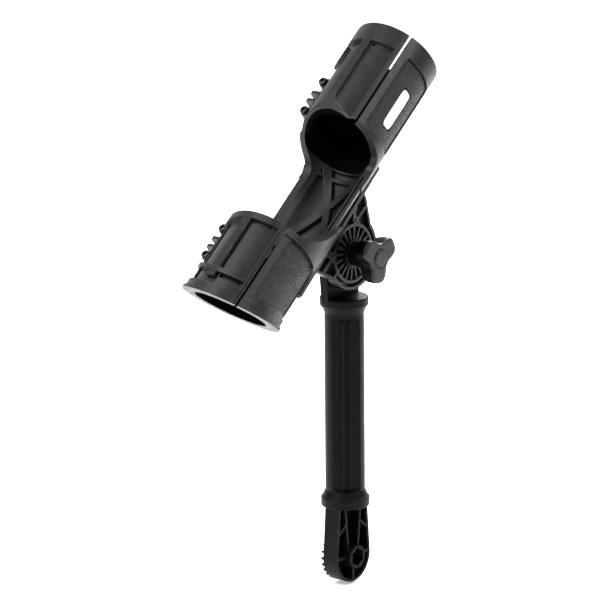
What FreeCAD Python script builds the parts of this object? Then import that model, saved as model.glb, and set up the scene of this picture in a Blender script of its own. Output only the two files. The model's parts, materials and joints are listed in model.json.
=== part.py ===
"""Fishing rod holder: open tubular cradle that tilts on a toothed joint at the top of an extension arm.

Row frame, millimetres: the origin is the foot bolt axis in the arm's centre plane, +Z runs up the arm,
+X runs along the pivot bolt towards the knob.  Cradle parts are drawn in the tube's own frame (Z along the
tube, -Y towards the open front, origin on the tube axis beside the pivot) and then placed in the row frame.
"""
import FreeCAD, Part

import math
import os

Vec = FreeCAD.Vector
X_AXIS = Vec(1, 0, 0)
Y_AXIS = Vec(0, 1, 0)
Z_AXIS = Vec(0, 0, 1)

# Layout
PIVOT_Z = 210.0            # foot bolt axis to tilt axis
TILT_DEG = 51.0            # tube axis from vertical
TUBE_OFFSET = 61.0         # tilt axis to tube axis

# Rod tube
BORE_R = 24.65             # lower collar and back wall
UPPER_BORE_R = 22.0
UPPER_R = 30.5             # outer radius of the upper collar's bands
LOWER_R = 33.2             # outer radius of the lower collar's flanges
UPPER_COVER_R = 28.0       # cover skin between its ribs
LOWER_COVER_R = 29.2
BACK_R = 29.6              # outer radius of the back wall between the collars
UPPER_TOP = 124.0
UPPER_BAND = 109.0         # lower edge of the upper collar's smooth band
LOWER_TOP = -45.0
LOWER_END = -101.3         # slanted bottom cut, where it meets the tube axis
MID_RING = 19.5            # mid ring above the bottom cut
FLARE = 1.2                # thin flare at the very bottom, beyond the flange
FLARE_T = 2.4
SLANT_DEG = 19.2
SLANT_SIDE_DEG = 7.0
SLOT_DEG = 47.3            # rod slot, measured round the tube from the open front towards +X
SLOT_W = 1.6
GAP = 0.15                 # clearance between covers and frame
SIDE_BLOCK_S = 91.5        # lower end of the block beside the upper cover's slot
BORE_STEP = 39.0           # the bore narrows here, at the upper collar
FRAME_STEP = 60.0          # end of the relief inside the frame's mouth
MOUTH_R = 25.2
RAIL_GROOVE_DEG = 131.0
RAIL_Y = 14.0              # side rails of the back wall start here

# Tilt bracket
PLATE_Y = 31.4
PLATE_T = 2.6
PLATE_HALF_TOP = 12.2      # the plate widens towards the lower collar
PLATE_HALF_END = 15.8
PLATE_TOP = 54.0
PLATE_END = -61.0
FIN_FRONT = 8.4            # +X face of the fin's ribs
FIN_WEB = 4.4              # +X face of the fin's web
FIN_BACK = 2.2             # -X face of the fin's web
FIN_R = 24.8
RING_R = 19.4
TOOTH_COUNT = 24
TOOTH_H = 1.2

# Arm
ARM_R = 13.4
COLLAR_R = 16.4
RECESS_HALF = 9.2          # sunk panels down the tube
RECESS_DEPTH = 4.4
RECESS_Z0 = 46.6
RECESS_Z1 = 167.0
FOOT_COLLAR_Z = 35.0       # underside of the foot's collar
HEAD_COLLAR_Z = 180.0      # top of the head's collar
ARM_BACK = -7.0            # -X face of the top head
ARM_FACE = -0.6            # +X face of the top head, under its teeth
HEAD_R = 17.9
FOOT_BACK = -5.0
FOOT_FRONT = 6.6
HUB_R = 7.9
HUB_FRONT = 10.4
BOLT_R = 4.0
BOLT_HOLE_R = 4.2
BOLT_HEX_R = 7.4           # hex head, centre to corner
CAP_R = 6.0

# Knob
WASHER_X = 8.7
WASHER_T = 1.6
KNOB_BACK = 19.6
KNOB_FRONT = 31.4
KNOB_R = 17.3
KNOB_BARREL_R = 8.6

# Lugs that clamp each cover to the frame: middle station, wall radius, screw offset from the middle
LUG_STATIONS = ((69.5, UPPER_R, 12.8), (-59.5, LOWER_R, 11.4))
LUG_Y = -6.5               # parting plane of the lugs
LUG_FRONT_Y = -11.0        # front face, under the screw heads
LUG_REAR_Y = 3.5
LUG_OUT = 0.9              # screw axis outside the wall radius
LUG_R = 3.5
LUG_ROOT = 7.0             # lugs reach this far into the wall
GUSSET_OUT = 3.6           # nose of the thin plates outside the wall radius
GUSSET_R = 2.6
GUSSET_HALF = 1.05
GUSSET_OFFSET = 3.3        # plate to the lug's middle

# Cover screws and bracket screws
LUG_SCREW_R = 2.0
LUG_HEAD_R = 3.1
LUG_HEAD_H = 2.6
LUG_SCREW_LENGTH = 9.5
INSERT_R = 2.84
INSERT_END_Y = 1.4
PLATE_SCREW_R = 1.9
PLATE_SCREW_X = 7.5
PLATE_SCREW_S = (46.0, -52.0)

# Badge
BADGE_S0 = 61.0
BADGE_S1 = 91.5
BADGE_DEG0 = 79.0
BADGE_DEG1 = 94.5
BADGE_TOP_R = UPPER_R - 0.5
BADGE_SEAT_R = UPPER_R - 1.7


def save(name, shape):
    """Write one named sub-part, checked closed."""
    shape = shape.removeSplitter()
    if not shape.isValid():
        print("INVALID", name)
    shape.exportStep("parts/" + name + ".step")
    print(f"{name:24s} solids {len(shape.Solids)}  volume {shape.Volume:10.1f}")


def box(x0, x1, y0, y1, z0, z1):
    return Part.makeBox(x1 - x0, y1 - y0, z1 - z0, Vec(x0, y0, z0))


def cyl(radius, start, end):
    """Cylinder between two points."""
    start, end = Vec(*start), Vec(*end)
    return Part.makeCylinder(radius, (end - start).Length, start, end - start)


def prism(points, direction):
    """Solid from a closed outline of corner points and arc mid-points, pushed along a direction.

    An entry (p, "arc") marks a point that the arc to the next entry passes through.
    """
    edges = []
    count = len(points)
    index = 0
    start = Vec(*points[0])
    while index < count:
        nxt = points[(index + 1) % count]
        if nxt[-1] == "arc":
            end = Vec(*points[(index + 2) % count])
            edges.append(Part.Arc(start, Vec(*nxt[0]), end).toShape())
            index += 2
        else:
            end = Vec(*nxt)
            edges.append(Part.LineSegment(start, end).toShape())
            index += 1
        start = end
    return Part.Face(Part.Wire(edges)).extrude(direction)


def sector(r_in, r_out, s0, s1, deg0, deg1):
    """Part of a tube wall; degrees run from the open front (-Y) towards +X."""
    outer = Part.makeCylinder(r_out, s1 - s0, Vec(0, 0, s0), Z_AXIS, deg1 - deg0)
    if r_in > 0:
        outer = outer.cut(Part.makeCylinder(r_in, s1 - s0 + 2, Vec(0, 0, s0 - 1)))
    outer.rotate(Vec(0, 0, 0), Z_AXIS, deg0 - 90)
    return outer


def radial_box(deg, width, r0, r1, s0, s1):
    """Box that stands out from the tube at one angle."""
    block = box(-width / 2, width / 2, -r1, -r0, s0, s1)
    block.rotate(Vec(0, 0, 0), Z_AXIS, deg)
    return block


def place(shape):
    """From the tube's frame to the row frame."""
    moved = shape.copy()
    turn = FreeCAD.Rotation(X_AXIS, -TILT_DEG)
    offset = turn.multVec(Vec(0, -TUBE_OFFSET, 0)) + Vec(0, 0, PIVOT_Z)
    moved.Placement = FreeCAD.Placement(offset, turn).multiply(shape.Placement)
    return moved


def fillet_some(shape, radius, pick):
    """Round the edges that a test picks; the shape stays as it was if they cannot be rounded."""
    edges = [edge for edge in shape.Edges if pick(edge)]
    if not edges:
        return shape
    try:
        rounded = shape.makeFillet(radius, edges)
    except Exception:
        return shape
    return rounded if rounded.isValid() else shape


def slant_cutter(offset=0.0):
    """Everything below the slanted bottom plane of the lower collar, moved up by an offset."""
    block = box(-90, 90, -90, 90, -120, 0)
    block.rotate(Vec(0, 0, 0), X_AXIS, SLANT_DEG)
    block.rotate(Vec(0, 0, 0), Y_AXIS, SLANT_SIDE_DEG)
    block.translate(Vec(0, 0, LOWER_END + offset))
    return block


def slanted_disc(radius, thick, offset):
    """Disc about the tube axis whose faces are parallel to the slanted bottom."""
    disc = Part.makeCylinder(radius, 90, Vec(0, 0, LOWER_END - 30))
    return disc.cut(slant_cutter(offset)).common(slant_cutter(offset + thick))


# ---------------------------------------------------------------- window between the collars

def mouth_cover():
    """Window side of the upper cover: end face, then the long sloping facet at the front."""
    outline = [(-45, RAIL_Y, -30), (-45, RAIL_Y, 22), ((-45, 12.4, 29.5), "arc"), (-45, 8, 34),
               (-45, -21, 49.2), (-45, -25.4, 51.5), (-45, -33, 67.2),
               (-45, -60, 67.2), (-45, -60, -30)]
    mouth = prism(outline, Vec(90, 0, 0))
    inside = prism([(2, -21.2, 49.0), (2, -8.0, 70.0), (2, -8.0, 40.0)], Vec(43, 0, 0))
    return mouth.fuse(inside)


def mouth_frame():
    """Window side of the upper collar's frame half, shallower than the cover's."""
    outline = [(0, RAIL_Y, -30), (0, RAIL_Y, 33), ((0, 12, 39.5), "arc"), (0, 5.3, 43),
               (0, -9, 46.8), (0, -34, 52.5), (0, -60, 52.5), (0, -60, -30)]
    return prism(outline, Vec(45, 0, 0))


def lower_lip():
    """Lower edge of the window: flat at the front and curved up to the side rails."""
    outline = [(-45, RAIL_Y, 0), (-45, RAIL_Y, -16), ((-45, 1.5, -35.5), "arc"), (-45, -14, LOWER_TOP),
               (-45, -60, LOWER_TOP), (-45, -60, 0)]
    return prism(outline, Vec(90, 0, 0))


def slot():
    """Long see-through slot down the front right of both collars."""
    return radial_box(SLOT_DEG, SLOT_W, BORE_R - 6, LOWER_R + 8, LOWER_END - 30, UPPER_TOP + 5)


def bore():
    """Rod bore, narrower above a step, with a short lead-in at the top."""
    lower = Part.makeCylinder(BORE_R, 200, Vec(0, 0, BORE_STEP - 200))
    upper = Part.makeCylinder(UPPER_BORE_R, 120, Vec(0, 0, BORE_STEP - 1))
    lead = Part.makeCone(UPPER_BORE_R, UPPER_BORE_R + 3.2, 4.0, Vec(0, 0, UPPER_TOP - 3.8))
    return lower.fuse(upper).fuse(lead)


def mouth_relief():
    """The frame's mouth is opened out a little above the bore's step."""
    return Part.makeCylinder(MOUTH_R, FRAME_STEP - BORE_STEP, Vec(0, 0, BORE_STEP))


def cover_zone(gap):
    """Space that the covers fill, from the lug plane round the open front to the slot."""
    lug_side = box(-60, 0.5, -60, LUG_Y - gap, -170, 170)
    return lug_side.fuse(sector(0, 60, -170, 170, 0, SLOT_DEG))


# ---------------------------------------------------------------- cradle frame

def recess_panel(radius, depth, s0, s1, deg0, deg1, corner=4.0):
    """Shallow panel sunk in the tube wall, with rounded corners."""
    half = (radius - depth) * math.sin(math.radians((deg1 - deg0) / 2))
    window = box(-half, half, -radius - 4, -4, s0, s1)
    window = fillet_some(window, corner, lambda e: abs(e.Vertexes[0].Y - e.Vertexes[-1].Y) > 5)
    window.rotate(Vec(0, 0, 0), Z_AXIS, (deg0 + deg1) / 2)
    return window.cut(Part.makeCylinder(radius - depth, s1 - s0 + 2, Vec(0, 0, s0 - 1)))


def upper_collar():
    """Frame half of the upper collar, with its sunk grip panels and groove."""
    ring = sector(0, UPPER_R, 20, UPPER_TOP, 0, 360)
    ring = fillet_some(ring, 1.0, lambda e: e.BoundBox.ZMin > UPPER_TOP - 0.1)
    for deg0, deg1 in ((57, 126), (150, 210), (234, 286)):
        bottom = 50.5 if deg0 < 100 else 30
        ring = ring.cut(recess_panel(UPPER_R, 0.9, bottom, UPPER_BAND, deg0, deg1))
    groove = sector(UPPER_R - 2.0, UPPER_R + 2, UPPER_BAND - 1.0, UPPER_BAND + 0.4, 60, 122)
    return ring.cut(groove)


def badge_seat():
    """Pocket in the grip panel that the badge sits in."""
    return sector(BADGE_SEAT_R, UPPER_R + 3, BADGE_S0 - 0.4, BADGE_S1 + 1.2,
                  BADGE_DEG0 - 0.6, BADGE_DEG1 + 2.0)


def lower_collar():
    """Frame half of the lower collar with its end flange, grip panel and groove."""
    ring = sector(0, LOWER_R - 1.0, LOWER_END - 30, LOWER_TOP + 32, 0, 360)
    ring = ring.cut(slant_cutter())
    ring = ring.fuse(sector(0, LOWER_R, LOWER_TOP - 5, LOWER_TOP + 32, 0, 360))
    ring = ring.fuse(slanted_disc(LOWER_R, 8.0, 0.0)).fuse(slanted_disc(LOWER_R + FLARE, FLARE_T, 0.0))
    rise = sector(BACK_R, 60, LOWER_TOP, LOWER_TOP + 40, 0, 360)
    ring = ring.cut(rise.common(box(-60, 0, -60, 60, -60, 0)))
    for deg0, deg1 in ((57, 128), (146, 214), (232, 286)):
        panel = recess_panel(LOWER_R, 1.9, LOWER_END - 26, LOWER_TOP - 5.5, deg0, deg1)
        ring = ring.cut(panel.cut(slant_cutter(11.5)))
    groove = sector(LOWER_R - 2.8, LOWER_R + 2, LOWER_TOP - 6.2, LOWER_TOP - 4.6, 60, 112)
    return ring.cut(groove)


def back_wall():
    """Curved wall between the collars, left thick so that the pockets can be sunk in it."""
    wall = Part.makeCylinder(BACK_R, 90, Vec(0, 0, LOWER_TOP))
    return wall.common(box(-60, 60, RAIL_Y, 60, -60, 60))


def x_rib(sign):
    """One diagonal of the X on the inside of the back wall."""
    length = 92.0
    bar = box(-2.6, 2.6, 10, BACK_R, -length / 2, length / 2)
    bar.rotate(Vec(0, 0, 0), Y_AXIS, sign * 27.0)
    bar.translate(Vec(0, 0, 6.5))
    return bar


def back_pockets():
    """Sunk space of the back wall, less the X ribs, cross ribs and side rails."""
    sunk = sector(BORE_R - 4, BACK_R - 1.5, -39.5, 36.5, 180 - 44, 180 + 44)
    for sign in (-1, 1):
        sunk = sunk.cut(x_rib(sign))
    sunk = sunk.cut(box(-40, 40, 0, 40, 28.5, 31.0))
    sunk = sunk.cut(box(-40, 40, 0, 40, -33.0, -30.5))
    return sunk


def rail_grooves():
    """Grooves along the right side rail, on its top and down its flank."""
    top = box(21.6, 23.2, RAIL_Y - 1, RAIL_Y + 2.4, -24, 30)
    flank = radial_box(RAIL_GROOVE_DEG, 1.5, BACK_R - 1.6, 60, -52, 34)
    return top.fuse(flank)


def lug_screw_places():
    """Centre of each cover screw: collar name, X and station along the tube."""
    places = []
    for (s_mid, radius, offset), name in zip(LUG_STATIONS, ("upper", "lower")):
        for side, number in ((1, "1"), (-1, "2")):
            places.append((name + "_" + number, -radius - LUG_OUT, s_mid + side * offset))
    return places


def lug_half(front):
    """Front or rear half of all lugs, split at the lug plane."""
    if front:
        y0, y1 = LUG_FRONT_Y, LUG_Y - GAP
    else:
        y0, y1 = LUG_Y + GAP, LUG_REAR_Y
    lugs = []
    for s_mid, radius, offset in LUG_STATIONS:
        root = LUG_ROOT - radius
        centre_x = -radius - LUG_OUT
        for side in (-1, 1):
            lugs.append(gusset(radius, y0, y1, s_mid + side * GUSSET_OFFSET, front))
            boss_s = s_mid + side * offset
            lugs.append(cyl(LUG_R, (centre_x, y0, boss_s), (centre_x, y1, boss_s)))
            lugs.append(box(centre_x, root, y0, y1, boss_s - LUG_R, boss_s + LUG_R))
        lugs.append(box(-radius - 0.8, root, y0 + 2.0, y1, s_mid - offset, s_mid + offset))
    return lugs


def gusset(radius, y0, y1, s, front):
    """Thin plate of a lug with a round nose, square to the tube axis."""
    s0, s1 = s - GUSSET_HALF, s + GUSSET_HALF
    root = LUG_ROOT - radius
    nose_x = -radius - GUSSET_OUT
    nose_y, parting = (y0 + GUSSET_R - 1.0, y1) if front else (y1 - GUSSET_R, y0)
    nose = cyl(GUSSET_R, (nose_x, nose_y, s0), (nose_x, nose_y, s1))
    bridge = box(nose_x, root, nose_y - GUSSET_R, nose_y + GUSSET_R, s0, s1)
    plate = box(nose_x - GUSSET_R, root, min(nose_y, parting), max(nose_y, parting), s0, s1)
    return plate.fuse(nose).fuse(bridge)


def cradle_frame():
    """Main moulding: frame halves of both collars joined by the ribbed back wall."""
    body = upper_collar().cut(mouth_frame()).cut(half_space_left(mouth_cover()))
    lower = lower_collar().cut(lower_lip())
    body = body.fuse(lower).fuse(back_wall())
    body = body.cut(front_window())
    body = body.cut(cover_zone(-GAP))
    for lug in lug_half(front=False):
        body = body.fuse(lug)
    body = body.cut(bore()).cut(mouth_relief()).cut(slot())
    body = body.cut(back_pockets()).cut(rail_grooves())
    body = body.cut(badge_seat())
    for _, x, s in lug_screw_places():
        body = body.cut(cyl(INSERT_R + 0.01, (x, LUG_Y - 1, s), (x, INSERT_END_Y + 0.2, s)))
    for x, s in plate_screw_places():
        body = body.cut(cyl(PLATE_SCREW_R + 0.03, (x, BORE_R + 1, s), (x, 40, s)))
    body = body.cut(place_plate_land())
    return body


def half_space_left(shape):
    return shape.common(box(-60, 0, -80, 80, -160, 160))


def front_window():
    """Everything in front of the side rails between the collars."""
    return box(-60, 60, -60, RAIL_Y, -16, 24)


def place_plate_land():
    """Flat seat on the lower collar and upper collar for the bracket plate."""
    half = PLATE_HALF_END + 0.4
    return box(-half, half, PLATE_Y - 0.02, 60, PLATE_END - 0.4, PLATE_TOP + 0.5)


# ---------------------------------------------------------------- covers

def upper_cover():
    """Front cover of the upper collar with its box rib and seam strip."""
    low, high = 20.0, UPPER_TOP
    skin = sector(0, UPPER_COVER_R, low, high, 0, 360)
    band = sector(0, UPPER_R, UPPER_BAND, high, 0, 360)
    band = fillet_some(band, 1.0, lambda e: e.BoundBox.ZMin > high - 0.1)
    shape = skin.fuse(band)
    shape = shape.fuse(radial_box(-1.5, 6.4, 10, UPPER_R - 0.1, low, UPPER_BAND))
    shape = shape.fuse(sector(10, UPPER_R, low, UPPER_BAND, 38.5, 50))
    shape = shape.fuse(sector(10, UPPER_R - 0.1, SIDE_BLOCK_S, UPPER_BAND - 1, -60, -38))
    vent = sector(UPPER_COVER_R - 1.6, UPPER_R + 2, UPPER_BAND - 3.6, UPPER_BAND - 0.2, -62, -8)
    vent = vent.fuse(sector(UPPER_COVER_R - 1.6, UPPER_R + 2, UPPER_BAND - 3.2, UPPER_BAND - 0.2, 8, 34))
    shape = shape.cut(vent)
    return finish_cover(shape, mouth_cover(), "upper")


def lower_cover():
    """Front cover of the lower collar with top flange, mid ring, bottom flange and box rib."""
    low = LOWER_END - 30
    skin = sector(0, LOWER_COVER_R, low, LOWER_TOP, 0, 360)
    shape = skin.fuse(sector(0, LOWER_R, LOWER_TOP - 5.0, LOWER_TOP, 0, 360))
    shape = shape.fuse(slanted_disc(LOWER_R, 3.4, MID_RING - 1.7))
    shape = shape.fuse(slanted_disc(LOWER_R, 8.0, 0.0)).fuse(slanted_disc(LOWER_R + FLARE, FLARE_T, 0.0))
    shape = shape.fuse(radial_box(-1.5, 6.4, 10, LOWER_R - 0.5, LOWER_END + 2, LOWER_TOP - 2))
    shape = shape.fuse(sector(10, LOWER_R, low, LOWER_TOP - 2, 40.5, 50))
    shape = shape.fuse(sector(10, LOWER_R - 1.2, low, LOWER_TOP - 2, -80, -56))
    shape = shape.fuse(sector(10, LOWER_COVER_R + 1.6, low, LOWER_TOP - 2, 7, 44))
    under_flange = sector(LOWER_COVER_R - 0.6, LOWER_R + 3, LOWER_TOP - 7.4, LOWER_TOP - 5, 7, 34)
    under_ring = slanted_disc(LOWER_R + 3, 3.0, MID_RING - 5.0).cut(
        Part.makeCylinder(LOWER_COVER_R - 1.0, 200, Vec(0, 0, -170)))
    under_ring = under_ring.common(sector(0, 60, -170, 0, 9, 38))
    seam = radial_box(SLOT_DEG - 3.9, 0.9, LOWER_R - 1.3, 50, low, LOWER_TOP + 2)
    shape = shape.cut(under_flange).cut(under_ring).cut(seam)
    shape = shape.cut(slant_cutter())
    return finish_cover(shape, None, "lower")


def finish_cover(shape, mouth, name):
    """Trim a cover to its wedge, add its lugs, and open bore, slot and screw holes."""
    if mouth is not None:
        shape = shape.cut(mouth)
    shape = shape.common(cover_zone(GAP))
    mid = LUG_STATIONS[0 if name == "upper" else 1][0]
    for lug in lug_half(front=True):
        if abs(lug.BoundBox.Center.z - mid) < 30:
            shape = shape.fuse(lug)
    shape = shape.cut(bore()).cut(slot())
    for place_name, x, s in lug_screw_places():
        if place_name.startswith(name):
            shape = shape.cut(cyl(LUG_SCREW_R + 0.2, (x, -30, s), (x, 5, s)))
            shape = shape.cut(cyl(LUG_HEAD_R + 0.2, (x, LUG_FRONT_Y - 8, s), (x, LUG_FRONT_Y, s)))
    return shape


# ---------------------------------------------------------------- tilt bracket

def plate_screw_places():
    return [(x, s) for s in PLATE_SCREW_S for x in (-PLATE_SCREW_X, PLATE_SCREW_X)]


def fin_outline(inset):
    """Side view of the fin in the tube frame, drawn at X = 0, drawn in by an inset."""
    radius = FIN_R - inset
    root = 33.5 - 0.9 * inset
    y0 = PLATE_Y + 0.5 + inset
    outline = [(0, y0, -root - 1.5), (0, 42.3, -root + 0.5), (0, TUBE_OFFSET - 1.0, -radius),
               ((0, TUBE_OFFSET + radius, 0), "arc"), (0, TUBE_OFFSET - 1.0, radius),
               (0, 42.3, root - 0.5), (0, y0, root + 1.5)]
    return outline


def fin():
    """Ribbed round plate: web, perimeter wall, ring, spokes, hub and the ribs up to the flange."""
    solid = prism(fin_outline(0), Vec(FIN_FRONT, 0, 0))
    solid = solid.cut(box(-1, FIN_BACK, 0, 100, -60, 60))
    hollow = prism(fin_outline(2.2), Vec(20, 0, 0))
    hollow.translate(Vec(FIN_WEB, 0, 0))
    shape = solid.cut(hollow)
    centre = (TUBE_OFFSET, 0)
    ribs = [ring_x(RING_R + 0.8, RING_R - 1.2, FIN_WEB - 1, FIN_FRONT, centre),
            ring_x(8.2, 0, FIN_WEB - 1, FIN_FRONT, centre)]
    for index in range(20):
        spoke = box(FIN_WEB - 1, FIN_FRONT - 0.5, -0.65, 0.65, 7, RING_R)
        spoke.rotate(Vec(0, 0, 0), X_AXIS, index * 18.0 + 9.0)
        spoke.translate(Vec(0, TUBE_OFFSET, 0))
        ribs.append(spoke)
    inside = prism(fin_outline(1.0), Vec(FIN_FRONT, 0, 0))
    for y0, y1, z0, z1 in fin_rib_lines():
        ribs.append(bar_between(y0, z0, y1, z1, 1.8).common(inside).cut(
            Part.makeCylinder(RING_R, 30, Vec(-5, TUBE_OFFSET, 0), X_AXIS)))
    for rib in ribs:
        shape = shape.fuse(rib)
    disc = Part.makeCylinder(RING_R, 1.0, Vec(FIN_BACK - 0.1, TUBE_OFFSET, 0), X_AXIS)
    shape = shape.fuse(disc)
    for tooth in tooth_ring(FIN_BACK + 0.1, -TOOTH_H - 0.1, RING_R, TUBE_OFFSET, 0):
        shape = shape.fuse(tooth)
    hole = Part.makeCylinder(BOLT_HOLE_R, 40, Vec(-10, TUBE_OFFSET, 0), X_AXIS)
    return shape.cut(hole)


def fin_rib_lines():
    """Straight ribs of the fin outside its ring: y and z at both ends."""
    lines = [(PLATE_Y, 64, 19.0, 19.0 - 3.5), (PLATE_Y, 64, -19.0, -15.5)]
    lines += [(46.5, 46.5, 10, 34), (46.5, 46.5, -34, -10)]
    lines += [(PLATE_Y, 44, 33, 14), (PLATE_Y, 44, -33, -14)]
    lines += [(58, 58, -30, -18)]
    return lines


def ring_x(r_out, r_in, x0, x1, centre):
    """Ring or disc about an axis along X."""
    ring = Part.makeCylinder(r_out, x1 - x0, Vec(x0, centre[0], centre[1]), X_AXIS)
    if r_in > 0:
        ring = ring.cut(Part.makeCylinder(r_in, x1 - x0 + 2, Vec(x0 - 1, centre[0], centre[1]), X_AXIS))
    return ring


def bar_between(y0, z0, y1, z1, width):
    """Straight rib of the fin between two points of its side view."""
    length = math.hypot(y1 - y0, z1 - z0)
    bar = box(FIN_WEB - 1, FIN_FRONT, 0, length, -width / 2, width / 2)
    bar.rotate(Vec(0, 0, 0), X_AXIS, math.degrees(math.atan2(z1 - z0, y1 - y0)))
    bar.translate(Vec(0, y0, z0))
    return bar


def tooth_ring(x, height, radius, cy, cz, inner=10.5, count=TOOTH_COUNT):
    """Radial teeth on a face square to X; a negative height points them to -X."""
    teeth = []
    half = math.pi * radius / count * 0.5
    half_in = half * inner / radius
    tip = 0.45
    for index in range(count):
        low = [(x, inner, -half_in), (x, inner, half_in),
               (x + height, inner, half_in * tip), (x + height, inner, -half_in * tip)]
        high = [(x, radius, -half), (x, radius, half),
                (x + height, radius, half * tip), (x + height, radius, -half * tip)]
        loops = [Part.makePolygon([Vec(*p) for p in loop] + [Vec(*loop[0])]) for loop in (low, high)]
        tooth = Part.makeLoft(loops, True, True)
        tooth.rotate(Vec(0, 0, 0), X_AXIS, index * 360.0 / count)
        tooth.translate(Vec(0, cy, cz))
        teeth.append(tooth)
    return teeth


def tilt_bracket():
    """Flange plate under the cradle with the ribbed, toothed fin."""
    outline = [(-PLATE_HALF_END, PLATE_Y, PLATE_END), (PLATE_HALF_END, PLATE_Y, PLATE_END),
               (PLATE_HALF_TOP, PLATE_Y, PLATE_TOP), (-PLATE_HALF_TOP, PLATE_Y, PLATE_TOP)]
    plate = prism(outline, Vec(0, PLATE_T, 0))
    plate = fillet_some(plate, 3.0, lambda e: abs(e.Vertexes[0].Y - e.Vertexes[-1].Y) > 1)
    for x, s in plate_screw_places():
        if s > 0:
            plate = plate.fuse(cyl(4.2, (x, PLATE_Y - 2.0, s), (x, PLATE_Y + 0.5, s)))
    shape = plate.fuse(fin())
    for s in (-34.0, 34.0):
        web = box(0.4, FIN_FRONT, PLATE_Y + 1, PLATE_Y + 7, s - 1.1, s + 1.1)
        shape = shape.fuse(web)
    shape = shape.fuse(box(9.6, PLATE_HALF_TOP - 0.3, 20, PLATE_Y + 1, -12.4, 18))
    lip = box(-PLATE_HALF_TOP, -PLATE_HALF_TOP + 1.1, PLATE_Y + 1, PLATE_Y + 5, PLATE_END + 6, PLATE_TOP - 6)
    shape = shape.fuse(lip)
    for x, s in plate_screw_places():
        shape = shape.cut(cyl(PLATE_SCREW_R + 0.2, (x, 0, s), (x, 60, s)))
    shape = shape.cut(Part.makeCylinder(UPPER_R + 0.12, 40, Vec(0, 0, 20)).fuse(
        Part.makeCylinder(BACK_R + 0.12, 66, Vec(0, 0, -45))))
    return shape


# ---------------------------------------------------------------- fasteners and badge

def cap_screw(radius, length, head_r, head_h):
    """Screw along -Y: round head in front, shank behind, hex socket in the head."""
    shank = cyl(radius, (0, 0, 0), (0, length, 0))
    head = cyl(head_r, (0, -head_h, 0), (0, 0, 0))
    head = fillet_some(head, head_h * 0.45, lambda e: e.BoundBox.YMax < -head_h + 0.05)
    socket = hex_prism(head_r * 0.5, head_h * 0.6)
    socket.translate(Vec(0, -head_h - 0.01, 0))
    return shank.fuse(head).cut(socket)


def hex_prism(corner_r, height):
    """Hexagonal prism along +Y from the origin."""
    points = [Vec(corner_r * math.cos(math.radians(60 * i)), 0, corner_r * math.sin(math.radians(60 * i)))
              for i in range(6)]
    return Part.Face(Part.makePolygon(points + [points[0]])).extrude(Vec(0, height, 0))


def cover_screw(x, s):
    screw = cap_screw(LUG_SCREW_R, LUG_SCREW_LENGTH, LUG_HEAD_R, LUG_HEAD_H)
    screw.translate(Vec(x, LUG_FRONT_Y, s))
    return screw


def cover_insert(x, s):
    """Knurled brass sleeve in the frame's lug."""
    sleeve = cyl(INSERT_R, (x, LUG_Y + 2 * GAP, s), (x, INSERT_END_Y, s))
    for y in (-4.6, -2.2):
        sleeve = sleeve.cut(cyl(3.2, (x, y, s), (x, y + 0.6, s)).cut(cyl(2.5, (x, y - 1, s), (x, y + 2, s))))
    return sleeve.cut(cyl(LUG_SCREW_R, (x, LUG_Y - 5, s), (x, 5, s)))


def bracket_screw(x, s):
    """Screw from behind the flange into the collar wall."""
    screw = cap_screw(PLATE_SCREW_R, 6.4, 3.4, 2.4)
    screw.rotate(Vec(0, 0, 0), Z_AXIS, 180)
    screw.translate(Vec(x, PLATE_Y + PLATE_T, s))
    return screw


def badge():
    """Plain curved badge with no lettering."""
    return sector(BADGE_SEAT_R + 0.05, BADGE_TOP_R, BADGE_S0, BADGE_S1, BADGE_DEG0, BADGE_DEG1)


# ---------------------------------------------------------------- arm

def arm_tube():
    """Fluted tube between the two collars."""
    tube = Part.makeCylinder(ARM_R, HEAD_COLLAR_Z - 34, Vec(0, 0, 32))
    for turn in (-45, 135):
        recess = box(-RECESS_HALF, RECESS_HALF, -ARM_R - 4, -ARM_R + RECESS_DEPTH, RECESS_Z0, RECESS_Z1)
        recess = fillet_some(recess, 3.0, lambda e: abs(e.Vertexes[0].Y - e.Vertexes[-1].Y) > 5)
        recess = recess.cut(fluted_rib())
        recess.rotate(Vec(0, 0, 0), Z_AXIS, turn + 90)
        tube = tube.cut(recess)
    return tube


def fluted_rib():
    """Twin thin ribs that stand in the middle of each recess."""
    rib = box(-3.0, 3.0, -ARM_R + 1.6, 0, RECESS_Z0 + 2, RECESS_Z1 - 3)
    return rib.cut(box(-1.7, 1.7, -ARM_R - 5, -ARM_R + RECESS_DEPTH, 30, 180))


def collar(z0, z1, chamfer_up):
    """Round collar with a cone that leads into the tube."""
    ring = Part.makeCylinder(COLLAR_R, z1 - z0, Vec(0, 0, z0))
    ring = fillet_some(ring, 1.2, lambda e: e.Closed)
    cone_h = 5.0
    if chamfer_up:
        cone = Part.makeCone(COLLAR_R - 0.8, ARM_R, cone_h, Vec(0, 0, z1 - 0.4))
    else:
        cone = Part.makeCone(ARM_R, COLLAR_R - 0.8, cone_h, Vec(0, 0, z0 - cone_h + 0.4))
    return ring.fuse(cone)


def tongue(x0, x1, half, radius, centre_z, root_z):
    """Flat tongue with a round end about an axis along X."""
    if root_z < centre_z:
        outline = [(x0, -half, root_z), (x0, half, root_z), (x0, radius, centre_z),
                   ((x0, 0, centre_z + radius), "arc"), (x0, -radius, centre_z)]
    else:
        outline = [(x0, half, root_z), (x0, -half, root_z), (x0, -radius, centre_z),
                   ((x0, 0, centre_z - radius), "arc"), (x0, radius, centre_z)]
    return prism(outline, Vec(x1 - x0, 0, 0))


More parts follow.
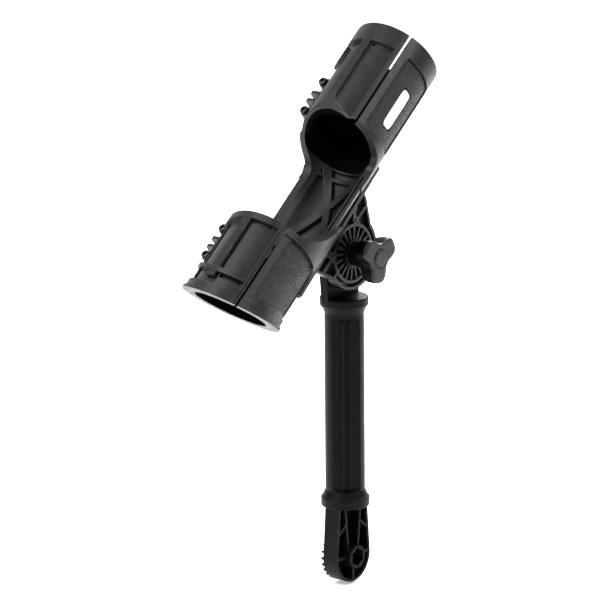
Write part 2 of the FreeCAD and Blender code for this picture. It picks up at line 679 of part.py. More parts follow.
def arm_head():
    """Toothed head at the tilt joint, with a pocket for the bolt's hex head."""
    head = tongue(ARM_BACK, ARM_FACE, 16.0, HEAD_R + 1.2, PIVOT_Z, 176)
    head = fillet_some(head, 1.0, lambda e: abs(e.BoundBox.XMax - ARM_BACK) < 0.05 and e.BoundBox.ZMax > 180)
    for tooth in tooth_ring(ARM_FACE - 0.1, TOOTH_H + 0.1, HEAD_R + 0.8, 0, PIVOT_Z):
        head = head.fuse(tooth)
    pocket = hex_prism(BOLT_HEX_R + 0.15, 5.2)
    pocket.rotate(Vec(0, 0, 0), Z_AXIS, -90)
    pocket.translate(Vec(ARM_BACK - 0.01, 0, PIVOT_Z))
    hub = Part.makeCylinder(11.0, 3.0, Vec(ARM_BACK - 2.4, 0, PIVOT_Z), X_AXIS)
    pocket.translate(Vec(-2.4, 0, 0))
    hole = Part.makeCylinder(BOLT_R + 0.05, 40, Vec(-20, 0, PIVOT_Z), X_AXIS)
    return head.fuse(hub).cut(pocket).cut(hole)


def foot_ribs():
    """Ribs of the foot's open side: V to the hub, braces, side and bottom ribs."""
    lines = [(-8.5, 38, -5.0, 5), (8.5, 38, 5.0, 5),
             (-6.8, 24.0, -15, 17.5), (6.8, 24.0, 15, 17.5),
             (-17, 0.5, -7, 0.5), (7, 0.5, 17, 0.5), (0, -7, 0, -17)]
    ribs = []
    for y0, z0, y1, z1 in lines:
        length = math.hypot(y1 - y0, z1 - z0)
        bar = box(FOOT_BACK, FOOT_FRONT, 0, length, -0.8, 0.8)
        bar.rotate(Vec(0, 0, 0), X_AXIS, math.degrees(math.atan2(z1 - z0, y1 - y0)))
        bar.translate(Vec(0, y0, z0))
        ribs.append(bar)
    return ribs


def arm_foot():
    """Foot head: open ribbed side towards +X, toothed face towards -X."""
    shell = tongue(FOOT_BACK, FOOT_FRONT, 14.8, HEAD_R, 0, 41)
    hollow = tongue(FOOT_BACK + 2.2, FOOT_FRONT + 5, 12.9, HEAD_R - 1.9, 0, 38)
    foot = shell.cut(hollow)
    inside = tongue(FOOT_BACK, FOOT_FRONT + 5, 14.0, HEAD_R - 1, 0, 40)
    for rib in foot_ribs():
        foot = foot.fuse(rib.common(inside))
    foot = foot.fuse(ring_x(HUB_R, 0, FOOT_BACK, HUB_FRONT, (0, 0)))
    for tooth in tooth_ring(FOOT_BACK + 0.1, -2.2, HEAD_R - 0.2, 0, 0, count=24):
        foot = foot.fuse(tooth)
    socket = hex_prism(6.3, 8.0)
    socket.rotate(Vec(0, 0, 0), Z_AXIS, -90)
    socket.rotate(Vec(0, 0, 0), X_AXIS, 30)
    socket.translate(Vec(HUB_FRONT - 7.0, 0, 0))
    for index in range(6):
        turn = math.radians(60 * index + 30)
        start = Vec(HUB_FRONT - 7, 5.0 * math.cos(turn), 5.0 * math.sin(turn))
        socket = socket.fuse(Part.makeCylinder(1.5, 8, start, X_AXIS))
    hole = Part.makeCylinder(BOLT_HOLE_R, 40, Vec(-20, 0, 0), X_AXIS)
    return foot.cut(socket).cut(hole)


def extension_arm():
    """Whole arm moulding: foot, lower collar, fluted tube, upper collar and head."""
    arm = arm_tube()
    arm = arm.fuse(collar(FOOT_COLLAR_Z, FOOT_COLLAR_Z + 7.0, chamfer_up=True))
    arm = arm.fuse(collar(HEAD_COLLAR_Z - 6.5, HEAD_COLLAR_Z, chamfer_up=False))
    arm = arm.cut(box(-30, 30, -30, 30, 0, FOOT_COLLAR_Z))
    return arm.fuse(arm_foot()).fuse(arm_head())


# ---------------------------------------------------------------- pivot hardware

def pivot_bolt():
    """Hex bolt held in the arm's head; the knob's nut runs on its end."""
    head = hex_prism(BOLT_HEX_R, 4.5)
    head.rotate(Vec(0, 0, 0), Z_AXIS, -90)
    head.translate(Vec(ARM_BACK - 2.4 + 0.6, 0, PIVOT_Z))
    shank = Part.makeCylinder(BOLT_R, 34.6, Vec(ARM_BACK - 1, 0, PIVOT_Z), X_AXIS)
    shank = fillet_some(shank, 0.8, lambda e: e.Closed and e.BoundBox.XMin > 20)
    return head.fuse(shank)


def thrust_washer():
    """Plain washer captive behind the knob."""
    return ring_x(9.6, BOLT_R + 0.25, WASHER_X, WASHER_X + WASHER_T, (0, PIVOT_Z))


def knob_grip():
    """Three-lobed grip with a flared barrel towards the joint."""
    back = WASHER_X + WASHER_T + 0.05
    barrel = Part.makeCone(8.2, KNOB_BARREL_R + 2.4, KNOB_BACK + 2 - back, Vec(back, 0, PIVOT_Z), X_AXIS)
    grip = Part.makeCylinder(11.0, KNOB_FRONT - KNOB_BACK, Vec(KNOB_BACK, 0, PIVOT_Z), X_AXIS)
    for angle in (-94, 26, 146):
        lobe = box(KNOB_BACK, KNOB_FRONT - 1.2, 0, KNOB_R, -5.2, 5.2)
        taper = fillet_some(lobe, 3.6, lambda e: abs(e.Vertexes[0].X - e.Vertexes[-1].X) > 5
                            and e.BoundBox.YMin > KNOB_R - 1)
        taper.rotate(Vec(0, 0, 0), X_AXIS, angle)
        taper.translate(Vec(0, 0, PIVOT_Z))
        grip = grip.fuse(taper)
    for angle in (-34, 86, 206):
        turn = math.radians(angle)
        centre = Vec(KNOB_BACK - 2, 18.5 * math.cos(turn), PIVOT_Z + 18.5 * math.sin(turn))
        grip = grip.cut(Part.makeCylinder(9.6, 20, centre, X_AXIS))
    grip = fillet_some(grip, 1.1, lambda e: e.BoundBox.XMin > KNOB_FRONT - 1.3
                       and e.BoundBox.XLength < 0.05 and not e.Closed)
    grip = grip.fuse(barrel)
    seat = Part.makeCylinder(CAP_R + 0.02, 3.2, Vec(KNOB_FRONT - 2.2, 0, PIVOT_Z), X_AXIS)
    pocket = hex_prism(6.6, 10.0)
    pocket.rotate(Vec(0, 0, 0), Z_AXIS, -90)
    pocket.translate(Vec(KNOB_BACK - 2.0, 0, PIVOT_Z))
    hole = Part.makeCylinder(BOLT_R + 0.3, 60, Vec(0, 0, PIVOT_Z), X_AXIS)
    return grip.cut(seat).cut(pocket).cut(hole)


def knob_nut():
    """Hex nut moulded into the knob."""
    nut = hex_prism(6.58, 7.0)
    nut.rotate(Vec(0, 0, 0), Z_AXIS, -90)
    nut.translate(Vec(KNOB_BACK - 1.9, 0, PIVOT_Z))
    return nut.cut(Part.makeCylinder(BOLT_R + 0.06, 60, Vec(0, 0, PIVOT_Z), X_AXIS))


def knob_cap():
    """Plain domed cap on the knob's face."""
    cap = Part.makeCylinder(CAP_R, 2.9, Vec(KNOB_FRONT - 2.15, 0, PIVOT_Z), X_AXIS)
    cap = fillet_some(cap, 0.6, lambda e: e.BoundBox.XMin > KNOB_FRONT)
    return cap


def main():
    os.makedirs("parts", exist_ok=True)
    save("extension_arm", extension_arm())
    save("pivot_bolt", pivot_bolt())
    save("thrust_washer", thrust_washer())
    save("knob_grip", knob_grip())
    save("knob_nut", knob_nut())
    save("knob_cap", knob_cap())
    save("tilt_bracket", place(tilt_bracket()))
    save("cradle_frame", place(cradle_frame()))
    save("upper_cover", place(upper_cover()))
    save("lower_cover", place(lower_cover()))
    save("badge", place(badge()))
    for name, x, s in lug_screw_places():
        save("cover_screw_" + name, place(cover_screw(x, s)))
        save("cover_insert_" + name, place(cover_insert(x, s)))
    for number, (x, s) in enumerate(plate_screw_places(), 1):
        save("bracket_screw_" + str(number), place(bracket_screw(x, s)))


main()
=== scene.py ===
"""Studio picture of the fishing rod holder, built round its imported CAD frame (metres, row frame)."""
import bpy
import json
import math
from mathutils import Matrix, Vector


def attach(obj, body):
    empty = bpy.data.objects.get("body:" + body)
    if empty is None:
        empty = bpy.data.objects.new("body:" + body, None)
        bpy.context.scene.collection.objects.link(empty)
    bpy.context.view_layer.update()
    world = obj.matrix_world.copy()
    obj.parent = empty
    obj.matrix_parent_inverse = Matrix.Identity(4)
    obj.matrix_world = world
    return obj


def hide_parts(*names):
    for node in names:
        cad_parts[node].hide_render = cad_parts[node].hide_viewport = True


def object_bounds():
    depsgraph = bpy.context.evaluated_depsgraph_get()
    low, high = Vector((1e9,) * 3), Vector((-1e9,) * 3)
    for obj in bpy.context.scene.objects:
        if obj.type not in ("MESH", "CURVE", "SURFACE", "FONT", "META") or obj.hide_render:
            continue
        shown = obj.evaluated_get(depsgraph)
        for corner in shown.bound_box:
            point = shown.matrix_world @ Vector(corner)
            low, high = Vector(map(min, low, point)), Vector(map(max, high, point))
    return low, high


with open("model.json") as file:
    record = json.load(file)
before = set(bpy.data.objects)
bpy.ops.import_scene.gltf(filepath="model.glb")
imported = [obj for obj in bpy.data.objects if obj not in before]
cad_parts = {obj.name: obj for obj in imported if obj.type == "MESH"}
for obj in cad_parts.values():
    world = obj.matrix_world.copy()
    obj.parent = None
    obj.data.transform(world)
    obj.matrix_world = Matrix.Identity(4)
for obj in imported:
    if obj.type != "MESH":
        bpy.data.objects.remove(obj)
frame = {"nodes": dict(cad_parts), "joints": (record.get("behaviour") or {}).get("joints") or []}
CAD_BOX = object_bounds()
NODES = frame["nodes"]

# The tilt joint and the tube's own frame: origin beside the joint, Z along the tube, -Y to the open front.
TILT_JOINT = Vector(next(j["pos_m"] for j in frame["joints"] if j["name"] == "cradle_tilt"))
TILT = math.radians(51.0)
TUBE_OFFSET = 0.061
TUBE_ORIGIN = TILT_JOINT + TUBE_OFFSET * Vector((0, -math.cos(TILT), math.sin(TILT)))
UPPER_PANEL_R = 0.0296     # floors of the sunk grip panels, and how near to them counts
UPPER_PANEL_BAND = 0.00025
UPPER_PANEL_START = 0.022
LOWER_PANEL_R = 0.0313
LOWER_PANEL_BAND = 0.00030
LOWER_PANEL_END = -0.0495
BORE_LIMIT = 0.0253        # everything nearer the axis than this is inside the bore
UPPER_BORE_START = 0.0375  # the back wall between the collars isn't part of the bore
LOWER_BORE_END = -0.044
# Near-black painted shade for the inside of both collars
BORE_PAINTED_SHADE = (0.0006, 0.0006, 0.0007, 1)

# Smooth knob: lobe directions in degrees from +Y, and the shape of one lobe in degrees and a power
KNOB_LOBES = (-94.0, 26.0, 146.0)
LOBE_CROWN = 11.0
LOBE_FLANK = 46.0
LOBE_WAIST = 1.35
KNOB_STEPS = 120
BARREL_END = 0.0290        # the knob's flanks behind this are painted matt near-black as painted shade

# Each row is a ring of the knob: place along the bolt, radius between lobes and height of a lobe, in mm
KNOB_PROFILE = ((10.42, 7.2, 0), (10.6, 7.9, 0), (11.2, 8.2, 0), (14.5, 8.5, 0), (17.4, 8.9, 0.1),
                (18.8, 9.0, 0.5), (19.7, 9.1, 1.9), (20.2, 9.2, 4.6), (20.9, 9.3, 6.3), (22.2, 9.4, 7.2),
                (24.5, 9.5, 7.6), (27.5, 9.55, 7.7), (29.6, 9.55, 7.75), (30.6, 9.45, 7.6),
                (31.1, 9.2, 7.3), (31.33, 8.8, 6.8), (31.39, 8.2, 5.4), (31.39, 7.5, 2.0), (31.38, 6.9, 0),
                (31.3, 6.6, 0), (30.95, 6.45, 0), (30.9, 6.25, 0), (30.95, 6.08, 0), (31.5, 6.0, 0),
                (31.85, 5.85, 0), (32.02, 5.5, 0), (32.12, 4.2, 0), (32.15, 2.2, 0), (32.15, 0.6, 0))

# Smooth badge: middle and half size as degrees round the tube and metres along it
BADGE_MIDDLE = (86.75, 0.07625)
BADGE_HALF = (7.75, 0.01525)
BADGE_INSET = 0.0006
BADGE_STEPS = 72
BADGE_SQUARENESS = 0.32    # below 1 squares the outline, with rounded corners

# Each row is a ring of the badge: share of its size, and distance from the tube axis
BADGE_PROFILE = ((1.0, 0.0289), (1.0, 0.0295), (0.985, 0.02985),
                 (0.95, 0.02998), (0.6, 0.0300), (0.02, 0.0300))

# Camera: a long lens, almost straight projection
CAMERA_AZIMUTH = math.radians(39.6)
CAMERA_ELEVATION = math.radians(13.93)
CAMERA_ROLL = math.radians(-0.485)
CAMERA_DISTANCE = 3.253
CAMERA_LENS = 293.9
CAMERA_ACROSS = -0.0356
CAMERA_UP = -0.0310
DISC_FRONT = 0.0084        # the camera's aim is counted from the toothed disc's face

# Studio: the floor lies just under the part, and curves up far behind it
FLOOR_DROP = 0.0015
FLOOR_HALF_WIDTH = 9.0
FLOOR_FRONT = -6.0
BEND_START = 4.0
BEND_RADIUS = 1.6
BEND_STEPS = 24
BACKDROP_TOP = 8.0
FLOOR_GLOW = 0.36
WORLD_STRENGTH = 0.42
LIGHT_AIM = Vector((0, 0, 0.19))
KEY_POWER = 72
FILL_POWER = 34
RIM_POWER = 42


# ---------------------------------------------------------------- node helpers

class Nodes:
    """Short names for building one material's node tree."""

    def __init__(self, name):
        self.material = bpy.data.materials.new(name)
        self.material.use_nodes = True
        self.tree = self.material.node_tree
        self.tree.nodes.clear()
        self.output = self.add("ShaderNodeOutputMaterial")
        self.shader = self.add("ShaderNodeBsdfPrincipled")
        self.link(self.shader.outputs[0], self.output.inputs[0])

    def add(self, kind, **settings):
        node = self.tree.nodes.new(kind)
        for key, value in settings.items():
            setattr(node, key, value)
        return node

    def link(self, a, b):
        self.tree.links.new(a, b)

    def value(self, socket, value):
        """Feeds a socket from another socket, or sets it to a constant."""
        if isinstance(value, bpy.types.NodeSocket):
            self.link(value, socket)
        else:
            socket.default_value = value

    def math(self, operation, a, b=0.0, c=0.0):
        node = self.add("ShaderNodeMath", operation=operation)
        for socket, value in zip(node.inputs, (a, b, c)):
            self.value(socket, value)
        return node.outputs[0]

    def coords(self):
        return self.add("ShaderNodeTexCoord").outputs["Object"]

    def noise(self, vector, scale, detail=3.0, roughness=0.5):
        node = self.add("ShaderNodeTexNoise")
        self.link(vector, node.inputs["Vector"])
        node.inputs["Scale"].default_value = scale
        node.inputs["Detail"].default_value = detail
        node.inputs["Roughness"].default_value = roughness
        return node.outputs[0]

    def cells(self, vector, scale, feature="F1", smoothness=0.55):
        node = self.add("ShaderNodeTexVoronoi", feature=feature)
        self.link(vector, node.inputs["Vector"])
        node.inputs["Scale"].default_value = scale
        if feature == "SMOOTH_F1":
            node.inputs["Smoothness"].default_value = smoothness
        return node.outputs["Distance"]

    def span(self, value, low, high, out_low=0.0, out_high=1.0):
        """Maps low..high smoothly to out_low..out_high, clamped."""
        node = self.add("ShaderNodeMapRange", interpolation_type="SMOOTHSTEP")
        self.value(node.inputs[0], value)
        for socket, number in zip(node.inputs[1:5], (low, high, out_low, out_high)):
            socket.default_value = number
        return node.outputs[0]

    def mix_colour(self, factor, a, b):
        node = self.add("ShaderNodeMix", data_type="RGBA")
        self.value(node.inputs[0], factor)
        self.value(node.inputs[6], a)
        self.value(node.inputs[7], b)
        return node.outputs[2]

    def bump(self, height, strength, distance, normal=None):
        node = self.add("ShaderNodeBump")
        node.inputs["Strength"].default_value = strength
        node.inputs["Distance"].default_value = distance
        self.link(height, node.inputs["Height"])
        if normal is not None:
            self.link(normal, node.inputs["Normal"])
        return node.outputs[0]


def edge_mask(nodes, radius):
    """Rounded shading normal, and a mask that is 1 on sharp edges."""
    bevel = nodes.add("ShaderNodeBevel", samples=6)
    bevel.inputs["Radius"].default_value = radius
    geometry = nodes.add("ShaderNodeNewGeometry")
    dot = nodes.add("ShaderNodeVectorMath", operation="DOT_PRODUCT")
    nodes.link(bevel.outputs[0], dot.inputs[0])
    nodes.link(geometry.outputs["Normal"], dot.inputs[1])
    bend = nodes.math("SUBTRACT", 1.0, dot.outputs["Value"])
    return bevel.outputs[0], nodes.span(bend, 0.02, 0.22)


def tube_position(nodes, coords):
    """Distance from the tube axis and station along it."""
    local = nodes.add("ShaderNodeMapping", vector_type="TEXTURE")
    nodes.link(coords, local.inputs["Vector"])
    local.inputs["Location"].default_value = TUBE_ORIGIN
    local.inputs["Rotation"].default_value = (-TILT, 0, 0)
    parts = nodes.add("ShaderNodeSeparateXYZ")
    nodes.link(local.outputs[0], parts.inputs[0])
    x, y, station = parts.outputs
    square = nodes.math("ADD", nodes.math("MULTIPLY", x, x), nodes.math("MULTIPLY", y, y))
    return nodes.math("SQRT", square), station


def panel_mask(nodes, radius, station):
    """1 on the floors of the cradle's sunk grip panels."""
    upper = nodes.math("COMPARE", radius, UPPER_PANEL_R, UPPER_PANEL_BAND)
    upper = nodes.math("MULTIPLY", upper, nodes.math("GREATER_THAN", station, UPPER_PANEL_START))
    lower = nodes.math("COMPARE", radius, LOWER_PANEL_R, LOWER_PANEL_BAND)
    lower = nodes.math("MULTIPLY", lower, nodes.math("LESS_THAN", station, LOWER_PANEL_END))
    return nodes.math("MAXIMUM", upper, lower)


def bore_mask(nodes, radius, station):
    """1 on the inside of both collars, where the painted shade goes, 0 on the back wall between them."""
    inside = nodes.math("LESS_THAN", radius, BORE_LIMIT)
    upper = nodes.math("GREATER_THAN", station, UPPER_BORE_START)
    lower = nodes.math("LESS_THAN", station, LOWER_BORE_END)
    return nodes.math("MULTIPLY", inside, nodes.math("MAXIMUM", upper, lower))


def scaled(colour, share):
    """The colour made lighter or darker, as an opaque RGBA."""
    return (*[c * share for c in colour], 1)


def grip_panels(nodes, coords, shade, gloss, colour, rough, normal):
    """Pebbled panel floors with their pebble crowns lightened as a painted highlight, and a matt bore
    painted near-black as painted shade, laid over the plain nylon.
    """
    radius, station = tube_position(nodes, coords)
    panel = panel_mask(nodes, radius, station)
    cells = nodes.cells(coords, 950.0, "SMOOTH_F1")
    pebbles = nodes.math("ADD", cells, nodes.math("MULTIPLY", nodes.noise(coords, 700.0, 2.0), 0.7))
    normal = nodes.bump(nodes.math("MULTIPLY", pebbles, panel), 1.0, 0.0010, normal)
    rough = nodes.math("ADD", rough, nodes.math("MULTIPLY", panel, 0.09))
    # Pebble crowns on the panel floors are lightened: painted highlight
    pebble_highlight = nodes.math("MULTIPLY", panel, nodes.span(cells, 0.15, 0.6, 0.9, 0.0))
    colour = nodes.mix_colour(pebble_highlight, colour, scaled(shade, 3.0))
    # The bore is painted near-black as painted shade, and its gloss is cut to a tenth
    bore_shade = bore_mask(nodes, radius, station)
    colour = nodes.mix_colour(bore_shade, colour, BORE_PAINTED_SHADE)
    rough = nodes.math("MAXIMUM", rough, nodes.math("MULTIPLY", bore_shade, 0.95))
    shine = nodes.span(bore_shade, 0.0, 1.0, gloss, 0.1 * gloss)
    nodes.link(shine, nodes.shader.inputs["Specular IOR Level"])
    return colour, rough, normal


def nylon(name, shade, roughness, gloss, pebble=False):
    """Black glass-filled nylon: flow marks, fine grain, softened edges that are slightly rubbed and
    lightened with a painted highlight.
    """
    nodes = Nodes(name)
    coords = nodes.coords()
    edge_normal, edge = edge_mask(nodes, 0.0006)
    cloud = nodes.noise(coords, 38.0, 4.0, 0.55)
    flow = nodes.noise(coords, 210.0, 5.0, 0.6)
    base = nodes.mix_colour(nodes.span(cloud, 0.3, 0.7), scaled(shade, 0.8), scaled(shade, 1.25))
    # Edges are lightened: partly rubbed wear, partly a painted highlight for bright edge lines
    worn_and_highlit = tuple(min(1.0, c * 2.5 + 0.030) for c in shade)
    scuff_and_highlight = nodes.math("MULTIPLY", edge, nodes.span(flow, 0.35, 0.62))
    colour = nodes.mix_colour(nodes.math("MULTIPLY", scuff_and_highlight, 0.65), base, (*worn_and_highlit, 1))
    rough = nodes.span(flow, 0.25, 0.75, roughness - 0.06, roughness + 0.07)
    speckle = nodes.math("MULTIPLY", nodes.cells(coords, 2100.0), 0.5)
    grain = nodes.math("ADD", nodes.noise(coords, 1500.0, 2.0, 0.5), speckle)
    normal = nodes.bump(grain, 0.10, 0.0002, edge_normal)
    nodes.shader.inputs["Specular IOR Level"].default_value = gloss
    if pebble:
        colour, rough, normal = grip_panels(nodes, coords, shade, gloss, colour, rough, normal)
    nodes.link(colour, nodes.shader.inputs["Base Color"])
    nodes.link(rough, nodes.shader.inputs["Roughness"])
    nodes.link(normal, nodes.shader.inputs["Normal"])
    return nodes.material


def metal(name, colour, roughness):
    """Machined metal with fine turned marks and a little tarnish."""
    nodes = Nodes(name)
    coords = nodes.coords()
    edge_normal, edge = edge_mask(nodes, 0.0003)
    marks = nodes.noise(coords, 900.0, 4.0, 0.7)
    patch = nodes.noise(coords, 140.0, 3.0, 0.5)
    base = nodes.mix_colour(nodes.span(patch, 0.35, 0.7), scaled(colour, 0.62), (*colour, 1))
    bright = tuple(min(1.0, c * 1.3 + 0.05) for c in colour)
    base = nodes.mix_colour(nodes.math("MULTIPLY", edge, 0.6), base, (*bright, 1))
    nodes.link(base, nodes.shader.inputs["Base Color"])
    rough = nodes.span(marks, 0.3, 0.7, roughness - 0.06, roughness + 0.12)
    nodes.link(rough, nodes.shader.inputs["Roughness"])
    nodes.link(nodes.bump(marks, 0.12, 0.0001, edge_normal), nodes.shader.inputs["Normal"])
    nodes.shader.inputs["Metallic"].default_value = 1.0
    return nodes.material


def badge_plate():
    """Pale gloss plate, faintly mottled, with no lettering, its rim darkened as painted shade."""
    nodes = Nodes("badge_plate")
    coords = nodes.coords()
    edge_normal, edge = edge_mask(nodes, 0.0004)
    mottle = nodes.noise(coords, 320.0, 4.0, 0.6)
    base = nodes.mix_colour(nodes.span(mottle, 0.3, 0.7), (0.74, 0.75, 0.76, 1), (0.86, 0.87, 0.88, 1))
    # The badge's rim is darkened grey: painted shade
    base = nodes.mix_colour(nodes.math("MULTIPLY", edge, 0.5), base, (0.55, 0.56, 0.57, 1))
    nodes.link(base, nodes.shader.inputs["Base Color"])
    nodes.link(nodes.span(mottle, 0.2, 0.8, 0.22, 0.36), nodes.shader.inputs["Roughness"])
    normal = nodes.bump(nodes.noise(coords, 1900.0), 0.05, 0.0001, edge_normal)
    nodes.link(normal, nodes.shader.inputs["Normal"])
    return nodes.material


# ---------------------------------------------------------------- materials on the CAD nodes

def dress(material, *names):
    """Gives the CAD nodes whose names start so a material, in every slot."""
    for name, node in NODES.items():
        if name.startswith(names):
            node.data.materials.clear()
            node.data.materials.append(material)


def finish_cad_nodes():
    cradle = nylon("cradle_nylon", (0.0072, 0.0072, 0.0077), 0.40, gloss=0.33, pebble=True)
    dress(cradle, "cradle_frame", "upper_cover", "lower_cover")
    dress(nylon("bracket_nylon", (0.0060, 0.0060, 0.0064), 0.36, gloss=0.30), "tilt_bracket")
    dress(nylon("arm_nylon", (0.0029, 0.0029, 0.0031), 0.42, gloss=0.075), "extension_arm")
    smooth_knob(nylon("knob_nylon", (0.0080, 0.0080, 0.0086), 0.42, gloss=0.32),
                nylon("barrel_painted_shade", (0.0014, 0.0014, 0.0015), 0.5, gloss=0.06))
    dress(metal("screw_black", (0.05, 0.05, 0.053), 0.36), "cover_screw", "bracket_screw")
    dress(metal("steel", (0.56, 0.56, 0.57), 0.28), "pivot_bolt")
    # The thrust washer is darkened to near-black metal as painted shade under the knob
    dress(metal("washer_painted_shade", (0.03, 0.03, 0.032), 0.42), "thrust_washer")
    dress(metal("brass", (0.62, 0.46, 0.19), 0.3), "cover_insert", "knob_nut")
    smooth_badge(badge_plate())


# ---------------------------------------------------------------- smooth pieces over plain CAD nodes

def skin_rings(name, rings, materials):
    """Smooth closed surface through rings of points; a cap closes each end."""
    mesh = bpy.data.meshes.new(name)
    count = len(rings[0])
    points = [point for ring in rings for point in ring]
    faces = []
    for row in range(len(rings) - 1):
        for i in range(count):
            j = (i + 1) % count
            faces.append((row * count + i, row * count + j, (row + 1) * count + j, (row + 1) * count + i))
    last = (len(rings) - 1) * count
    faces.append(tuple(reversed(range(count))))
    faces.append(tuple(range(last, last + count)))
    mesh.from_pydata(points, [], faces)
    for face in mesh.polygons:
        face.use_smooth = len(face.vertices) == 4
    for material in materials:
        mesh.materials.append(material)
    piece = bpy.data.objects.new(name, mesh)
    bpy.context.scene.collection.objects.link(piece)
    return piece


def lobe_share(turn):
    """1 on a lobe's crown and 0 midway between two lobes."""
    away = min(abs((turn - lobe + 180) % 360 - 180) for lobe in KNOB_LOBES)
    share = min(1.0, max(0.0, (away - LOBE_CROWN) / LOBE_FLANK))
    return (0.5 + 0.5 * math.cos(math.pi * share)) ** LOBE_WAIST


def smooth_knob(nylon_face, barrel_shade_paint):
    """Three-lobed grip with rounded crowns, tapered back and a plain domed cap."""
    rings = []
    for x, radius, lobe in KNOB_PROFILE:
        ring = []
        for step in range(KNOB_STEPS):
            turn = step * 360.0 / KNOB_STEPS
            reach = (radius + lobe * lobe_share(turn)) / 1000
            angle = math.radians(turn)
            ring.append(TILT_JOINT + Vector((x / 1000, reach * math.cos(angle), reach * math.sin(angle))))
        rings.append(ring)
    knob = skin_rings("smooth_knob", rings, [nylon_face, barrel_shade_paint])
    # Faces behind BARREL_END take the near-black painted shade
    for face in knob.data.polygons:
        face.material_index = 1 if face.center.x < BARREL_END else 0
    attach(knob, "knob")
    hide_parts("knob_grip", "knob_cap")


def tube_point(degrees, radius, station):
    """Point on a cylinder about the tube axis; degrees run from the open front towards +X."""
    angle = math.radians(degrees)
    local = Vector((radius * math.sin(angle), -radius * math.cos(angle), station))
    return TUBE_ORIGIN + Matrix.Rotation(-TILT, 3, "X") @ local


def squared(value):
    """Pushes a sine or cosine outwards, so that a circle becomes a rounded square."""
    return math.copysign(abs(value) ** BADGE_SQUARENESS, value)


def badge_ring(share, radius):
    """One ring of the badge, share times its full size."""
    half_width = BADGE_HALF[0] * share
    half_length = (BADGE_HALF[1] - BADGE_INSET * (1 - share)) * share
    ring = []
    for step in range(BADGE_STEPS):
        angle = math.radians(step * 360.0 / BADGE_STEPS)
        degrees = BADGE_MIDDLE[0] + half_width * squared(math.cos(angle))
        station = BADGE_MIDDLE[1] + half_length * squared(math.sin(angle))
        ring.append(tube_point(degrees, radius, station))
    return ring


def smooth_badge(material):
    """Blank badge with rounded corners and a soft edge."""
    rings = [badge_ring(share, radius) for share, radius in BADGE_PROFILE]
    badge = skin_rings("smooth_badge", rings, [material])
    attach(badge, "cradle")
    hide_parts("badge")


# ---------------------------------------------------------------- studio

def studio_floor(level):
    """Pale floor that curves up into a backdrop far behind the object."""
    mesh = bpy.data.meshes.new("studio_floor")
    profile = [(FLOOR_FRONT, 0.0)]
    for step in range(BEND_STEPS + 1):
        turn = math.radians(step * 90 / BEND_STEPS)
        reach = BEND_START + BEND_RADIUS * math.sin(turn)
        profile.append((reach, BEND_RADIUS * (1 - math.cos(turn))))
    profile.append((BEND_START + BEND_RADIUS, BACKDROP_TOP))
    ahead = Vector((-math.sin(CAMERA_AZIMUTH), math.cos(CAMERA_AZIMUTH), 0))
    side = Vector((math.cos(CAMERA_AZIMUTH), math.sin(CAMERA_AZIMUTH), 0))
    verts = []
    for reach, height in profile:
        for across in (-FLOOR_HALF_WIDTH, FLOOR_HALF_WIDTH):
            verts.append(ahead * reach + side * across + Vector((0, 0, level + height)))
    faces = [(2 * i, 2 * i + 1, 2 * i + 3, 2 * i + 2) for i in range(len(profile) - 1)]
    mesh.from_pydata(verts, [], faces)
    for face in mesh.polygons:
        face.use_smooth = True
    floor = bpy.data.objects.new("studio_floor", mesh)
    bpy.context.scene.collection.objects.link(floor)
    nodes = Nodes("studio_paper")
    tone = nodes.noise(nodes.coords(), 3.0, 2.0)
    paper = nodes.mix_colour(nodes.span(tone, 0.2, 0.8), (0.90, 0.90, 0.90, 1), (0.94, 0.94, 0.94, 1))
    nodes.link(paper, nodes.shader.inputs["Base Color"])
    nodes.shader.inputs["Roughness"].default_value = 0.85
    nodes.shader.inputs["Emission Color"].default_value = (1, 1, 1, 1)
    nodes.shader.inputs["Emission Strength"].default_value = FLOOR_GLOW
    mesh.materials.append(nodes.material)


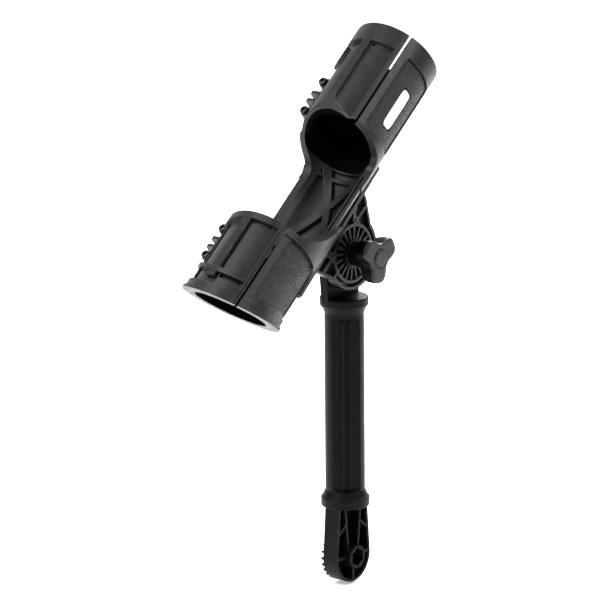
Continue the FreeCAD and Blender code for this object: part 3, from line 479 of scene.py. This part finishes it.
def area_light(name, offset, size, power):
    """Square light at an offset from the middle of the part, facing it."""
    data = bpy.data.lights.new(name, "AREA")
    data.energy = power
    data.size = size
    light = bpy.data.objects.new(name, data)
    light.location = LIGHT_AIM + offset
    light.rotation_mode = "QUATERNION"
    light.rotation_quaternion = (-offset).to_track_quat("-Z", "Y")
    bpy.context.scene.collection.objects.link(light)


def camera_axes():
    """Right, up and back directions of the camera."""
    sin_a, cos_a = math.sin(CAMERA_AZIMUTH), math.cos(CAMERA_AZIMUTH)
    sin_e, cos_e = math.sin(CAMERA_ELEVATION), math.cos(CAMERA_ELEVATION)
    right = Vector((cos_a, sin_a, 0))
    up = Vector((-sin_a * sin_e, cos_a * sin_e, cos_e))
    back = Vector((sin_a * cos_e, -cos_a * cos_e, sin_e))
    sin_r, cos_r = math.sin(CAMERA_ROLL), math.cos(CAMERA_ROLL)
    return right * cos_r + up * sin_r, up * cos_r - right * sin_r, back


def studio_camera():
    right, up, back = camera_axes()
    data = bpy.data.cameras.new("camera")
    data.lens = CAMERA_LENS
    data.sensor_width = 36.0
    data.clip_start = 0.1
    data.clip_end = 40.0
    camera = bpy.data.objects.new("camera", data)
    turn = Matrix((right, up, back)).transposed().to_4x4()
    aim = TILT_JOINT + Vector((DISC_FRONT, 0, 0))
    place = aim + right * CAMERA_ACROSS + up * CAMERA_UP + back * CAMERA_DISTANCE
    camera.matrix_world = Matrix.Translation(place) @ turn
    bpy.context.scene.collection.objects.link(camera)
    bpy.context.scene.camera = camera


def studio_light():
    right, up, back = camera_axes()
    world = bpy.data.worlds.new("studio")
    world.use_nodes = True
    world.node_tree.nodes["Background"].inputs[0].default_value = (1, 1, 1, 1)
    world.node_tree.nodes["Background"].inputs[1].default_value = WORLD_STRENGTH
    bpy.context.scene.world = world
    bpy.context.scene.view_settings.view_transform = "Standard"
    area_light("key", back * 1.2 + up * 1.5 - right * 1.3, 1.1, KEY_POWER)
    area_light("fill", back * 0.7 + up * 1.5 + right * 1.5, 1.0, FILL_POWER)
    area_light("rim", up * 1.4 + right * 0.4 - back * 1.2, 1.0, RIM_POWER)


def main():
    finish_cad_nodes()
    studio_floor(CAD_BOX[0].z - FLOOR_DROP)
    studio_camera()
    studio_light()


main()
